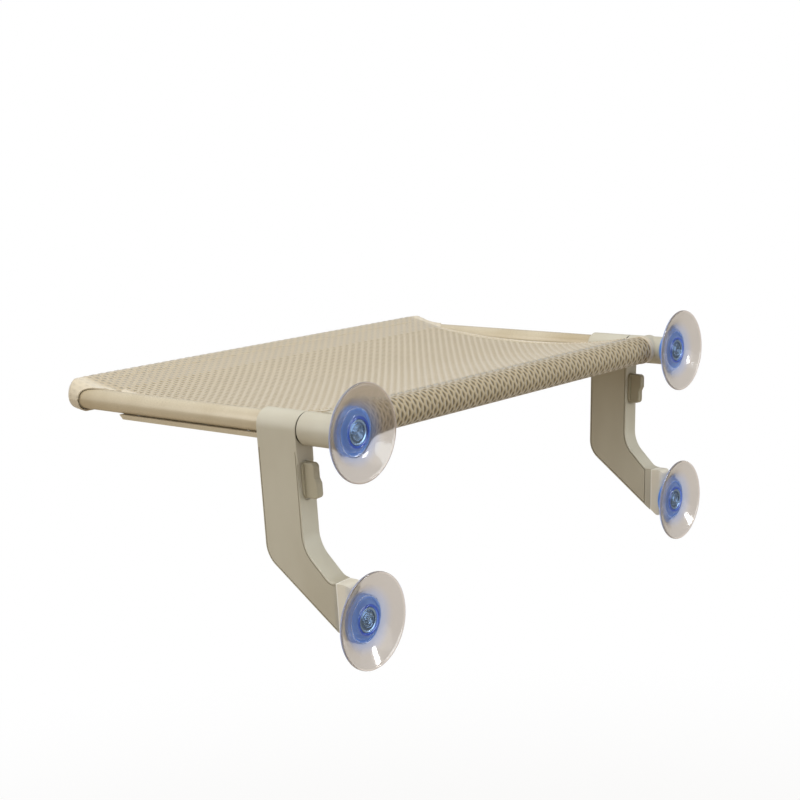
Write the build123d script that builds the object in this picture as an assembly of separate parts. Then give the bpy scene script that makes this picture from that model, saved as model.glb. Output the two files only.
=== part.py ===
from build123d import *
import os
from math import cos, hypot, radians, sin

# Window mounted perch: two rails and two cloth covered bars, held on the glass
# by two upper suction cups, with a folding leg and a lower cup under each rail.
# Frame in millimetres: X along the window, +Y out through the glass, +Z up.
# Origin: on the glass plane, midway between the upper cups, at their height.

# Main layout
rail_spacing = 554.0
room_bar_distance = 383.0
room_bar_rise = 4.0
window_bar_distance = 42.0
cup_drop = 172.0
cut_overrun = 20.0

# Tubes
tube_diameter = 21.0
tube_wall = 1.5

# Clearances
running_clearance = 0.05
fit_clearance = 0.02
soft_clearance = 0.3
seam_gap = 1.2

# Sling cloth
roll_thickness = 4.2
sheet_thickness = 3.0
sheet_sag = 18.0
sheet_rail_gap = 8.5
roll_end_thickness = 9.5
roll_end_round = 14.0
flare_length = 40.0
flare_lip = 12.0

# Elbows inside the room pocket
elbow_plug_length = 25.0
elbow_overhang = 2.0
elbow_end_round = 5.0
elbow_neck_length = 10.5
pin_diameter = 3.2
pin_length = 6.0

# Connectors at the glass
sleeve_diameter = 31.0
sleeve_drop = 2.0
collar_diameter = 30.0
collar_length = 15.5
connector_end_round = 3.0
connector_grip = 13.3
rail_stop_gap = 1.0
bar_socket_depth = 6.0
insert_diameter = 9.0
insert_length = 9.0

# Screws in brace and connector
screw_diameter = 4.0
screw_head_diameter = 7.0
screw_head_height = 2.0
screw_reach = 4.0

# Brace strip under each rail
brace_width = 14.0
brace_thickness = 4.5
brace_gap = 0.2
brace_room_gap = 56.0
brace_end_slant = 5.0
brace_screw_inset = 22.0

# Suction cups
cup_diameter = 90.0
cup_depth = 20.0
cup_hollow = 6.5
cup_hollow_share = 0.62
cup_lip_width = 2.5
cup_lip_thickness = 1.3
cup_hub_diameter = 34.0
cup_hub_length = 6.0
cup_flare_diameter = 52.0
cup_flare_depth = 8.6
cup_ring_diameter = 29.0
cup_ring_height = 1.0
stud_head_diameter = 24.0
stud_head_height = 3.0
stud_diameter = 5.0
nut_width = 8.0
nut_height = 4.0

# Leg
leg_lean = 3.0
leg_width = 48.5
leg_thickness = 22.5
leg_wall = 3.2
leg_skin = 3.0
leg_foot_distance = 34.0
leg_knee_rise = 61.0
leg_knee_round = 25.0
leg_heel_margin = 14.0
leg_toe_margin = 33.0
leg_toe_length = 6.0
leg_toe_round = 12.0
leg_throat_slope_share = 0.964286
leg_throat_round = 32.0
leg_roof = 3.5
edge_round = 1.2
seam_inset = 1.5
seam_width = 0.9
seam_depth = 1.1
foot_bevel_outer = 2.3
foot_bevel_inner = 6.0
foot_bevel_outer_depth = 1.0
foot_bevel_inner_depth = 1.6
foot_extension = 12.0
cover_inset = 1.6
cover_foot_rim = 0.5
foot_land = 1.8
cover_thickness = 2.5
cover_clearance = 0.8
peg_diameter = 4.0
peg_length = 9.0
peg_boss_diameter = 8.0
peg_drop_shares = (0.63, 0.96)
peg_edge_gap = 12.0
foot_peg_drop = 7.0
foot_peg_setback = 28.0
bush_wall = 1.2
bush_length = 12.0
bush_inset = 1.0
foot_cap_inset = 0.4
foot_cap_round = 4.5
cap_peg_diameter = 4.0
cap_peg_reach = 5.0
cap_peg_steps = (9.0, 20.0)
connector_seam_round = 1.0

# Lock
knob_drop = 48.5
knob_recess_radius = 19.0
knob_recess_depth = 1.0
knob_base_length = 35.0
knob_base_width = 13.0
knob_base_thickness = 2.2
knob_seat_gap = 0.2
knob_blade_length = 33.0
knob_blade_width = 8.5
knob_blade_height = 11.4
knob_step_height = 2.4
knob_round = 1.6
shaft_diameter = 8.0
shaft_tip_diameter = 5.0
shaft_tip_length = 8.0
shaft_boss_diameter = 14.0
shaft_boss_length = 11.0
cam_diameter = 12.0
cam_lift = 2.0
cam_clearance = 0.1
cam_reach = 29.0
cam_end_gap = 0.3
shoe_width = 9.0
shoe_length = 10.0
shoe_foot_thickness = 4.0
shoe_foot_gap = 0.3
shoe_guide_gap = 0.1

# Values that follow from these
rail_x = rail_spacing / 2
tube_radius = tube_diameter / 2
sheet_half_width = rail_x - tube_radius - sheet_rail_gap
bore_radius = tube_radius - tube_wall
roll_bore_radius = tube_radius + soft_clearance
roll_radius = roll_bore_radius + roll_thickness
sleeve_radius = sleeve_diameter / 2
rail_room_end = room_bar_distance - roll_radius
rail_window_end = window_bar_distance + tube_radius + rail_stop_gap
connector_end = rail_window_end + connector_grip
leg_setback = connector_end + seam_gap
leg_back = leg_setback + leg_width
cam_inner_end = leg_setback + cam_reach
leg_heel_drop = cup_drop + leg_heel_margin
leg_knee_drop = leg_heel_drop - leg_knee_rise
leg_toe_drop = cup_drop - leg_toe_margin
leg_throat_run = leg_setback - leg_foot_distance - leg_toe_length
leg_throat_drop = leg_toe_drop - leg_throat_slope_share * leg_throat_run
leg_outer = sleeve_radius
leg_inner = sleeve_radius - leg_thickness
leg_middle = (leg_outer + leg_inner) / 2
collar_x = rail_x - collar_length
elbow_x = rail_x - tube_radius
elbow_end_x = rail_x + elbow_overhang
roll_end_x = elbow_end_x + soft_clearance + roll_end_thickness
cup_radius = cup_diameter / 2

pieces = {}


def rod(radius, start, end):
    """Solid cylinder from one point to another."""
    run = Vector(end) - Vector(start)
    return extrude(Plane(origin=start, z_dir=run) * Circle(radius), amount=run.length)


def pipe(outer, inner, start, end):
    """Hollow cylinder from one point to another."""
    return rod(outer, start, end) - rod(inner, start, end)


def block(low, high):
    """Box between two opposite corners."""
    size = [b - a for a, b in zip(low, high)]
    middle = [(a + b) / 2 for a, b in zip(low, high)]
    return Pos(*middle) * Box(*size)


def side_face(outline):
    """Face in the plane across X from an outline of Y and Z."""
    return Plane.YZ * make_face(outline)


def keep(name, part):
    """Keeps a right hand piece and its mirrored left hand twin."""
    pieces["right_" + name] = part
    pieces["left_" + name] = mirror(part, about=Plane.YZ)


def on_leg(part):
    """Turns a piece of the upright leg about its rail to the leg's lean."""
    return Pos(rail_x, 0, 0) * Rot(0, leg_lean, 0) * part


# Screw holes in rail, bar and connector
brace_near = leg_back + seam_gap
brace_far = rail_room_end - brace_room_gap
brace_screw_distances = (brace_near + brace_screw_inset, brace_far - brace_screw_inset)
rail_screw_distance = (connector_end + rail_window_end) / 2
bar_screw_x = (rail_x - sleeve_radius + collar_x + collar_length) / 2
pin_distance = rail_room_end - elbow_plug_length / 2
pin_x = elbow_x - elbow_plug_length / 2


def screw_hole(x, distance, top, bottom):
    """Cutter for a screw shank between two heights."""
    return rod(screw_diameter / 2 + fit_clearance, (x, -distance, bottom), (x, -distance, top))


# Rails
rail = pipe(tube_radius, bore_radius, (rail_x, -rail_room_end, 0), (rail_x, -rail_window_end, 0))
for distance in (*brace_screw_distances, rail_screw_distance):
    rail -= screw_hole(rail_x, distance, 0, -tube_diameter)
rail -= rod(pin_diameter / 2 + fit_clearance, (rail_x, -pin_distance, -tube_diameter), (rail_x, -pin_distance, 0))
keep("rail", rail)

# Room bar, between the elbows
room_bar = pipe(
    tube_radius,
    bore_radius,
    (-elbow_x, -room_bar_distance, room_bar_rise),
    (elbow_x, -room_bar_distance, room_bar_rise),
)
room_pin_bottom = room_bar_rise - tube_radius
for side in (-1, 1):
    room_bar -= rod(
        pin_diameter / 2 + fit_clearance,
        (side * pin_x, -room_bar_distance, room_pin_bottom - cut_overrun),
        (side * pin_x, -room_bar_distance, room_bar_rise),
    )
pieces["room_bar"] = room_bar

# Window bar, from tee to tee
bar_end_x = rail_x + bar_socket_depth
window_bar = pipe(
    tube_radius, bore_radius, (-bar_end_x, -window_bar_distance, 0), (bar_end_x, -window_bar_distance, 0)
)
for side in (-1, 1):
    window_bar -= screw_hole(side * bar_screw_x, window_bar_distance, 0, -tube_diameter)
pieces["window_bar"] = window_bar

# Elbow in the corner of the room pocket
plug_radius = bore_radius - running_clearance
elbow_corner = (rail_x, -rail_room_end, 0)
elbow = rod(
    tube_radius,
    (elbow_x, -room_bar_distance, room_bar_rise),
    (elbow_end_x, -room_bar_distance, room_bar_rise),
)
elbow = fillet(elbow.edges().sort_by(Axis.X)[-1], elbow_end_round)
elbow += rod(tube_radius, (rail_x, -rail_room_end - elbow_neck_length, 0), elbow_corner)
elbow += rod(plug_radius, elbow_corner, (rail_x, -rail_room_end + elbow_plug_length, 0))
elbow += rod(
    plug_radius,
    (elbow_x - elbow_plug_length, -room_bar_distance, room_bar_rise),
    (elbow_x, -room_bar_distance, room_bar_rise),
)
rail_pin = rod(
    pin_diameter / 2, (rail_x, -pin_distance, -tube_radius), (rail_x, -pin_distance, pin_length - tube_radius)
)
bar_pin = rod(
    pin_diameter / 2,
    (pin_x, -room_bar_distance, room_pin_bottom),
    (pin_x, -room_bar_distance, room_pin_bottom + pin_length),
)
elbow -= rail_pin
elbow -= bar_pin
keep("elbow", elbow)
keep("elbow_pins", Compound([rail_pin.solid(), bar_pin.solid()]))

# Tee connector at the glass
connector = rod(sleeve_radius, (rail_x, -connector_end, -sleeve_drop), (rail_x, -cup_depth, -sleeve_drop))
connector = fillet(connector.edges().sort_by(Axis.Y)[-1], connector_end_round)
connector = fillet(connector.edges().sort_by(Axis.Y)[0], connector_seam_round)
connector += rod(collar_diameter / 2, (rail_x, -window_bar_distance, 0), (collar_x, -window_bar_distance, 0))
connector -= rod(
    tube_radius + running_clearance,
    (rail_x, -connector_end - cut_overrun, 0),
    (rail_x, -rail_window_end + running_clearance, 0),
)
connector -= rod(
    tube_radius + running_clearance,
    (collar_x - cut_overrun, -window_bar_distance, 0),
    (bar_end_x + running_clearance, -window_bar_distance, 0),
)
connector -= rod(insert_diameter / 2, (rail_x, -cup_depth - insert_length, 0), (rail_x, -cup_depth, 0))
screw_top = -tube_radius + screw_reach
connector_screws = []
for x, distance, underside in (
    (rail_x, rail_screw_distance, -sleeve_drop - sleeve_radius),
    (bar_screw_x, window_bar_distance, -collar_diameter / 2),
):
    head_top = underside + screw_head_height
    shank = rod(screw_diameter / 2, (x, -distance, head_top), (x, -distance, screw_top))
    head = rod(screw_head_diameter / 2, (x, -distance, underside), (x, -distance, head_top))
    connector -= screw_hole(x, distance, 0, underside - cut_overrun)
    connector -= rod(
        screw_head_diameter / 2 + running_clearance,
        (x, -distance, underside - cut_overrun),
        (x, -distance, head_top),
    )
    connector_screws.append((shank + head).solid())
keep("connector", connector)
keep("connector_screws", Compound(connector_screws))
keep(
    "upper_insert",
    pipe(
        insert_diameter / 2,
        stud_diameter / 2 + fit_clearance,
        (rail_x, -cup_depth - insert_length, 0),
        (rail_x, -cup_depth, 0),
    ),
)

# Brace strip under the rail, with a slanted room end
brace_top = -tube_radius - brace_gap
brace_bottom = brace_top - brace_thickness
brace_outline = Polyline(
    (-brace_near, brace_top),
    (-brace_far, brace_top),
    (-brace_far + brace_end_slant, brace_bottom),
    (-brace_near, brace_bottom),
    close=True,
)
brace = Pos(rail_x, 0, 0) * extrude(side_face(brace_outline), amount=brace_width / 2, both=True)
brace_screws = []
for distance in brace_screw_distances:
    head_top = brace_bottom + screw_head_height
    shank = rod(screw_diameter / 2, (rail_x, -distance, head_top), (rail_x, -distance, screw_top))
    head = rod(screw_head_diameter / 2, (rail_x, -distance, brace_bottom), (rail_x, -distance, head_top))
    brace -= screw_hole(rail_x, distance, 0, brace_bottom - cut_overrun)
    brace -= rod(
        screw_head_diameter / 2 + running_clearance,
        (rail_x, -distance, brace_bottom - cut_overrun),
        (rail_x, -distance, head_top),
    )
    brace_screws.append((shank + head).solid())
keep("brace_strip", brace)
keep("brace_screws", Compound(brace_screws))

# Sling cloth: a sagging sheet with a pocket round each bar
room_top = room_bar_rise + roll_radius
window_top = roll_radius
sag_middle = -(room_bar_distance + window_bar_distance) / 2
sag_height = (room_top + window_top) / 2 - sheet_sag
upper_line = ThreePointArc((-room_bar_distance, room_top), (sag_middle, sag_height), (-window_bar_distance, window_top))
lower_line = ThreePointArc(
    (-window_bar_distance, window_top - sheet_thickness),
    (sag_middle, sag_height - sheet_thickness),
    (-room_bar_distance, room_top - sheet_thickness),
)
sheet_outline = Curve() + [
    upper_line,
    Line(upper_line @ 1, lower_line @ 0),
    lower_line,
    Line(lower_line @ 1, upper_line @ 0),
]
sheet = extrude(side_face(sheet_outline), amount=roll_end_x, both=True)
flare_start = room_bar_distance - flare_lip
sheet_plan = Polyline(
    (-roll_end_x, -room_bar_distance),
    (roll_end_x, -room_bar_distance),
    (roll_end_x, -flare_start),
    (sheet_half_width, -flare_start + flare_length - flare_lip),
    (sheet_half_width, -window_bar_distance),
    (-sheet_half_width, -window_bar_distance),
    (-sheet_half_width, -flare_start + flare_length - flare_lip),
    (-roll_end_x, -flare_start),
    close=True,
)
sheet &= extrude(make_face(sheet_plan), amount=room_bar_distance, both=True)
room_roll = rod(
    roll_radius,
    (-roll_end_x, -room_bar_distance, room_bar_rise),
    (roll_end_x, -room_bar_distance, room_bar_rise),
)
room_roll = fillet(room_roll.edges().filter_by(GeomType.CIRCLE), roll_end_round)
room_bore = rod(
    roll_bore_radius,
    (-elbow_end_x - soft_clearance, -room_bar_distance, room_bar_rise),
    (elbow_end_x + soft_clearance, -room_bar_distance, room_bar_rise),
)
window_roll_x = collar_x - soft_clearance
window_roll = rod(
    roll_radius, (-window_roll_x, -window_bar_distance, 0), (window_roll_x, -window_bar_distance, 0)
)
window_bore = rod(
    roll_bore_radius,
    (-rail_x, -window_bar_distance, 0),
    (rail_x, -window_bar_distance, 0),
)
sling = sheet + room_roll + window_roll - room_bore - window_bore
for side in (-1, 1):
    sling -= rod(
        roll_bore_radius,
        (side * rail_x, -rail_room_end - elbow_neck_length - soft_clearance, 0),
        (side * rail_x, -rail_room_end + elbow_plug_length, 0),
    )
pieces["sling_cover"] = sling


def suction_cup(x, z):
    """Cup about an axis along Y: a thin concave flange on a thick hub."""
    bore = stud_diameter / 2 + fit_clearance
    seat = stud_head_diameter / 2 + fit_clearance
    hub = cup_hub_diameter / 2
    ring = cup_ring_diameter / 2
    flare = cup_flare_diameter / 2
    seat_y = -cup_hollow - stud_head_height
    ring_y = cup_ring_height - cup_hollow
    lip = cup_radius - cup_lip_width
    back = ThreePointArc(
        (hub, cup_hub_length - cup_depth), (flare, -cup_flare_depth), (cup_radius, -cup_lip_thickness)
    )
    front = Spline((lip, 0), ((lip + ring) / 2, -cup_hollow * cup_hollow_share), (ring, -cup_hollow))
    outline = Curve() + [
        Line((bore, seat_y), (bore, -cup_depth)),
        Line((bore, -cup_depth), (hub, -cup_depth)),
        Line((hub, -cup_depth), back @ 0),
        back,
        Line(back @ 1, (cup_radius, 0)),
        Line((cup_radius, 0), (lip, 0)),
        front,
        Line(front @ 1, (ring, ring_y)),
        Line((ring, ring_y), (seat, ring_y)),
        Line((seat, ring_y), (seat, seat_y)),
        Line((seat, seat_y), (bore, seat_y)),
    ]
    return Pos(x, 0, z) * revolve(make_face(outline), axis=Axis.Y)


def cup_stud(x, z, reach):
    """Stud with a disc head in the cup and a shank that reaches back from the glass."""
    head = rod(stud_head_diameter / 2, (x, -cup_hollow - stud_head_height, z), (x, -cup_hollow, z))
    return head + rod(stud_diameter / 2, (x, -reach, z), (x, -cup_hollow - stud_head_height, z))


# Upper cups, on the tees
keep("upper_cup", suction_cup(rail_x, 0))
keep("upper_stud", cup_stud(rail_x, 0, cup_depth + insert_length))

# Leg, modelled upright about the rail axis and then leaned inwards
heel_slope = (leg_heel_drop - leg_knee_drop) / (leg_back - leg_foot_distance)


def leg_profile(foot_distance):
    """Leg outline seen along X, with its foot cut off at a distance from the glass."""
    heel_drop = leg_heel_drop + heel_slope * (leg_foot_distance - foot_distance)
    outline = FilletPolyline(
        (-leg_back, -sleeve_drop),
        (-leg_back, -leg_knee_drop),
        (-foot_distance, -heel_drop),
        (-foot_distance, -leg_toe_drop),
        (-leg_foot_distance - leg_toe_length, -leg_toe_drop),
        (-leg_setback, -leg_throat_drop),
        (-leg_setback, -sleeve_drop),
        radius=[0, leg_knee_round, 0, 0, leg_toe_round, leg_throat_round, 0],
        close=True,
    )
    return side_face(outline)


leg_face = leg_profile(leg_foot_distance)
long_leg_face = leg_profile(leg_foot_distance - foot_extension)
leg_roof_drop = sleeve_drop + sleeve_radius + leg_roof


def leg_layer(inset, low_x, high_x, foot_end):
    """Slab with the leg's outline drawn in by an inset, below the sleeve and short of the foot."""
    face = offset(long_leg_face, -inset, kind=Kind.INTERSECTION)
    slab = Pos(low_x, 0, 0) * extrude(face, amount=high_x - low_x, dir=(1, 0, 0))
    before_foot = block(
        (leg_inner - 2 * cut_overrun, -leg_back - cut_overrun, -leg_heel_drop - cut_overrun),
        (leg_outer + 2 * cut_overrun, -foot_end, -leg_roof_drop),
    )
    return slab & before_foot


def foot_bevel(face_x, depth_x, length, outwards):
    """Cutter that slopes one side face of the leg in towards the end of its foot."""
    beyond_x = face_x + outwards * cut_overrun
    outline = Polyline(
        (depth_x, -leg_foot_distance),
        (face_x, -leg_foot_distance - length),
        (beyond_x, -leg_foot_distance - length),
        (beyond_x, 0),
        (depth_x, 0),
        close=True,
    )
    return extrude(make_face(outline), amount=leg_heel_drop + cut_overrun, dir=(0, 0, -1))


sleeve = rod(sleeve_radius, (0, -leg_back, -sleeve_drop), (0, -leg_setback, -sleeve_drop))
shell = sleeve + Pos(leg_inner, 0, 0) * extrude(leg_face, amount=leg_thickness, dir=(1, 0, 0))
rim_edges = shell.edges().filter_by(Axis.X, reverse=True).filter_by(Axis.Y, reverse=True)
shell = fillet([edge for group in rim_edges.group_by(Axis.Y)[:-1] for edge in group], edge_round)
foot_inner = leg_inner + foot_bevel_inner_depth
foot_outer = leg_outer - foot_bevel_outer_depth
shell -= foot_bevel(leg_outer, foot_outer, foot_bevel_outer, 1)
shell -= foot_bevel(leg_inner, foot_inner, foot_bevel_inner, -1)
cover_depth_x = leg_inner + cover_thickness
cover_end = leg_foot_distance + foot_bevel_inner + cover_foot_rim
shell -= leg_layer(cover_inset, leg_inner - cut_overrun, cover_depth_x, cover_end)
shell -= leg_layer(leg_wall, leg_inner, leg_outer - leg_skin, cover_end + foot_land)
seam = leg_layer(seam_inset, leg_outer - seam_depth, leg_outer + cut_overrun, 0)
seam -= leg_layer(seam_inset + seam_width, leg_outer - 2 * seam_depth, leg_outer + 2 * cut_overrun, 0)
shell -= seam
bush_outer = tube_radius + running_clearance + bush_wall
bush_bore = tube_radius + running_clearance
shell -= rod(bush_outer, (0, -leg_back - cut_overrun, 0), (0, -leg_setback + cut_overrun, 0))

# Peg bosses inside the shell and pegs on the cover
cover_gap = cover_inset + cover_clearance
cover = leg_layer(cover_gap, leg_inner, cover_depth_x - fit_clearance, cover_end + cover_clearance)
peg_places = [(share * leg_throat_drop, leg_back - peg_edge_gap) for share in peg_drop_shares]
peg_places.append((leg_toe_drop + foot_peg_drop, leg_foot_distance + foot_peg_setback))
for drop, setback in peg_places:
    peg_end = cover_depth_x + peg_length
    shell += rod(peg_boss_diameter / 2, (cover_depth_x, -setback, -drop), (leg_outer - leg_skin, -setback, -drop))
    shell -= rod(
        peg_diameter / 2 + running_clearance,
        (cover_depth_x, -setback, -drop),
        (peg_end + running_clearance, -setback, -drop),
    )
    cover += rod(peg_diameter / 2, (cover_depth_x - fit_clearance, -setback, -drop), (peg_end, -setback, -drop))

# Round recess, shaft boss and shoe guide for the lock
recess_floor = leg_setback + knob_recess_depth
shaft_bore = shaft_diameter / 2 + running_clearance
shell += rod(
    shaft_boss_diameter / 2,
    (leg_middle, -leg_setback - shaft_boss_length, -knob_drop),
    (leg_middle, -leg_setback - knob_recess_depth, -knob_drop),
)
shell -= rod(
    knob_recess_radius,
    (leg_middle, -recess_floor, -knob_drop),
    (leg_middle, -recess_floor + cut_overrun, -knob_drop),
)
shell -= rod(
    shaft_bore,
    (leg_middle, -leg_setback - shaft_boss_length - cut_overrun / 4, -knob_drop),
    (leg_middle, -leg_setback + cut_overrun, -knob_drop),
)
shoe_y = -(leg_setback + leg_back) / 2
shell -= block(
    (-shoe_width / 2 - shoe_guide_gap, shoe_y - shoe_length / 2 - shoe_guide_gap, -leg_roof_drop - cut_overrun / 4),
    (shoe_width / 2 + shoe_guide_gap, shoe_y + shoe_length / 2 + shoe_guide_gap, 0),
)

# Holes in the foot for the pegs of its end block
cap_middle = (foot_inner + foot_outer) / 2
cap_peg_drops = [leg_toe_drop + step for step in cap_peg_steps]
for drop in cap_peg_drops:
    shell -= rod(
        cap_peg_diameter / 2 + running_clearance,
        (cap_middle, -leg_foot_distance - cap_peg_reach - running_clearance, -drop),
        (cap_middle, -leg_foot_distance + cut_overrun / 4, -drop),
    )
keep("leg_shell", on_leg(shell))
keep("leg_cover", on_leg(cover))

# Bushes in the sleeve, one at each end
bushes = []
for near in (leg_setback + bush_inset, leg_back - bush_inset - bush_length):
    bush = pipe(bush_outer, bush_bore, (0, -near - bush_length, 0), (0, -near, 0))
    bushes.append(bush.solid())
keep("leg_bushes", on_leg(Compound(bushes)))

# End block between foot and lower cup, with two pegs and a pocket for the nut
cap_reach = leg_foot_distance - cup_depth
cap_outline = Polyline(
    (-leg_foot_distance, -leg_toe_drop - foot_cap_inset),
    (-cup_depth, -leg_toe_drop - foot_cap_inset),
    (-cup_depth, -leg_heel_drop - heel_slope * cap_reach + foot_cap_inset),
    (-leg_foot_distance, -leg_heel_drop + foot_cap_inset),
    close=True,
)
cap_width = foot_outer - foot_inner - 2 * foot_cap_inset
foot_cap = Pos(cap_middle, 0, 0) * extrude(side_face(cap_outline), amount=cap_width / 2, both=True)
foot_cap = fillet(foot_cap.faces().sort_by(Axis.Y)[-1].edges(), foot_cap_round)
for drop in cap_peg_drops:
    foot_cap += rod(
        cap_peg_diameter / 2,
        (cap_middle, -leg_foot_distance - cap_peg_reach, -drop),
        (cap_middle, -leg_foot_distance, -drop),
    )
lower_cup_z = -cup_drop
foot_cap -= rod(
    stud_diameter / 2 + running_clearance,
    (leg_middle, -leg_foot_distance - cut_overrun, lower_cup_z),
    (leg_middle, 0, lower_cup_z),
)


def hex_block(width, start_y, end_y):
    """Six sided block about the lower stud, flats up and down."""
    plane = Plane(origin=(leg_middle, start_y, lower_cup_z), z_dir=(0, 1, 0))
    face = plane * RegularPolygon(width / 2, 6, major_radius=False, rotation=30)
    return extrude(face, amount=end_y - start_y)


nut_front = -leg_foot_distance + nut_height
foot_cap -= hex_block(
    nut_width + 2 * fit_clearance, -leg_foot_distance - cut_overrun, nut_front + fit_clearance
)
keep("foot_cap", on_leg(foot_cap))

# Lower cup, its stud and the nut in the end block
keep("lower_cup", on_leg(suction_cup(leg_middle, lower_cup_z)))
keep("lower_stud", on_leg(cup_stud(leg_middle, lower_cup_z, leg_foot_distance - seam_gap)))
nut = hex_block(nut_width, fit_clearance - leg_foot_distance, nut_front)
nut -= rod(
    stud_diameter / 2 + fit_clearance,
    (leg_middle, -leg_foot_distance - cut_overrun, lower_cup_z),
    (leg_middle, nut_front + cut_overrun, lower_cup_z),
)
keep("lower_nut", on_leg(nut))

# Thumb turn: a long base and a stepped blade
knob_seat = recess_floor - knob_seat_gap
knob_face = knob_seat - knob_base_thickness
knob_plane = Plane(origin=(leg_middle, -knob_seat, -knob_drop), x_dir=(0, 0, 1), z_dir=(0, 1, 0))
knob = extrude(knob_plane * SlotOverall(knob_base_length, knob_base_width), amount=knob_base_thickness)
blade_half = knob_blade_length / 2
blade_outline = FilletPolyline(
    (-knob_face, -blade_half),
    (-knob_face + knob_blade_height + knob_step_height, -blade_half),
    (-knob_face + knob_blade_height + knob_step_height, -knob_step_height),
    (-knob_face + knob_blade_height, knob_step_height),
    (-knob_face + knob_blade_height, blade_half),
    (-knob_face, blade_half),
    radius=[0, knob_blade_width / 2, knob_step_height, knob_step_height, knob_blade_width / 2, 0],
    close=True,
)
blade = extrude(side_face(blade_outline), amount=knob_blade_width / 2, both=True)
blade = fillet(blade.edges().filter_by(GeomType.LINE).filter_by(Axis.X, reverse=True).group_by(Axis.Y)[-1], knob_round)
knob += Pos(leg_middle, 0, -knob_drop) * blade
shaft_tip_bore = rod(
    shaft_tip_diameter / 2 + fit_clearance,
    (leg_middle, -knob_seat - cut_overrun, -knob_drop),
    (leg_middle, -knob_seat + shaft_tip_length + fit_clearance, -knob_drop),
)
knob -= shaft_tip_bore
turned = Pos(leg_middle, 0, -knob_drop) * Rot(0, 180, 0) * Pos(-leg_middle, 0, knob_drop) * knob
pieces["right_lock_knob"] = on_leg(knob)
pieces["left_lock_knob"] = mirror(on_leg(turned), about=Plane.YZ)

# Shaft with an eccentric that lifts the shoe
cam_near = leg_setback + shaft_boss_length + cam_end_gap
cam_shift = cam_lift / 2
cam = rod(shaft_diameter / 2, (leg_middle, -cam_inner_end, -knob_drop), (leg_middle, -knob_seat, -knob_drop))
cam += rod(
    shaft_tip_diameter / 2,
    (leg_middle, -knob_seat, -knob_drop),
    (leg_middle, -knob_seat + shaft_tip_length, -knob_drop),
)
cam += rod(
    cam_diameter / 2,
    (leg_middle + cam_shift, -cam_inner_end, cam_shift - knob_drop),
    (leg_middle + cam_shift, -cam_near, cam_shift - knob_drop),
)
keep("lock_cam", on_leg(cam))

# Shoe that the eccentric presses up against the rail
shoe_bottom = cam_shift - knob_drop + cam_diameter / 2 + cam_clearance
shoe_foot_top = shoe_bottom + shoe_foot_thickness
shoe_low_y = shoe_y - shoe_length / 2
shoe_high_y = shoe_y + shoe_length / 2
shoe = block((-shoe_width / 2, shoe_low_y, shoe_foot_top), (shoe_width / 2, shoe_high_y, 0))
shoe += block(
    (cover_depth_x + shoe_foot_gap, shoe_low_y, shoe_bottom),
    (leg_outer - leg_skin - shoe_foot_gap, shoe_high_y, shoe_foot_top),
)
shoe -= rod(bush_bore, (0, shoe_low_y - cut_overrun, 0), (0, shoe_high_y + cut_overrun, 0))
keep("brake_shoe", on_leg(shoe))

os.makedirs("parts", exist_ok=True)
for name, part in pieces.items():
    export_step(part, f"parts/{name}.step")
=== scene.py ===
import math

import bmesh
import bpy
import numpy as np
from mathutils import Matrix, Vector


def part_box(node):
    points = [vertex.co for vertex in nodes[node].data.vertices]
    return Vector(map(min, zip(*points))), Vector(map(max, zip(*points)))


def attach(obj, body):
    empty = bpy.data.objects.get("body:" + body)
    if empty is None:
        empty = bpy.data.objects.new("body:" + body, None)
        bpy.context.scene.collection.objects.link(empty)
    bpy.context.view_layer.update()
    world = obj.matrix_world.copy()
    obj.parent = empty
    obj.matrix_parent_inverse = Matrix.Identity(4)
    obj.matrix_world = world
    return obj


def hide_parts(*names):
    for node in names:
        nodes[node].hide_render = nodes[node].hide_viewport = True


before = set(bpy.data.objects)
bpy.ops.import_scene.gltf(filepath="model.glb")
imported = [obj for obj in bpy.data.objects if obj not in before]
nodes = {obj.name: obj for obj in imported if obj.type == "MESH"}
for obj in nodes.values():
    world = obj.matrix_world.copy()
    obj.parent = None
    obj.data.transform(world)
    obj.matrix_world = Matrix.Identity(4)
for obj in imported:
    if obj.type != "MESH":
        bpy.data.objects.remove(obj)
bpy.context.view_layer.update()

# Rails and bars: drawn steel tube, sprayed with a satin champagne paint that has fine metal flake.
# The rails run from the glass to the room, and the two bars join them and carry the cloth.

steel_paint_light = (210, 199, 176)
steel_paint_dark = (190, 175, 146)
paint_cloud_scale = 9.0
paint_flake_scale = 1900.0
paint_peel_scale = 420.0
paint_peel_depth = 0.00012
paint_roughness = 0.27
paint_metal = 0.12


def shown(colour):
    """Linear colour for one given as it shows on a screen, each part from 0 to 255, by the
    sRGB curve: a straight line near black, and above it a power of 2.4."""
    parts = np.array(colour) / 255
    linear = np.where(parts <= 0.04045, parts / 12.92, ((parts + 0.055) / 1.055) ** 2.4)
    return tuple(float(part) for part in linear) + (1.0,)


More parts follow.
